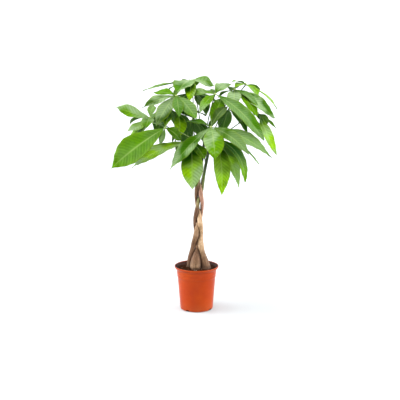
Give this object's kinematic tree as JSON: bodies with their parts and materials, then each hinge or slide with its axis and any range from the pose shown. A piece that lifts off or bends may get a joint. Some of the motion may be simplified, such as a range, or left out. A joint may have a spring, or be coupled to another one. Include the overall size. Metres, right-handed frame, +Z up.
{
  "type": "potted plant",
  "caption": "Potted money tree: a plaited trunk with a wide crown of palmate leaves, standing in soil in a tapered terracotta-coloured plastic nursery pot with a flared rim.",
  "frame": {"origin": "centre of the pot's flat underside", "axes": "+Z up along the pot's axis; the front of the plant, as pictured, faces -Y and its right-hand side is +X"},
  "size_m": [0.5053, 0.442, 0.7335],
  "materials": {
    "pot": "satin",
    "soil": "matte",
    "bark": "matte",
    "leaf": "satin"
  },
  "bodies": {
    "root": {"pot": "pot", "soil": "soil", "trunk_left": "bark", "trunk_middle": "bark", "trunk_right": "bark", "frond_front": "leaf", "frond_top": "leaf", "frond_top_left": "leaf", "frond_left_high": "leaf", "frond_left_far": "leaf", "frond_left_low": "leaf", "frond_left_inner": "leaf", "frond_low_left": "leaf", "frond_low_right": "leaf", "frond_right": "leaf", "frond_right_high": "leaf", "frond_right_far": "leaf", "frond_back": "leaf", "frond_back_left": "leaf", "frond_back_right": "leaf", "frond_back_low": "leaf"}
  },
  "joints": []
}
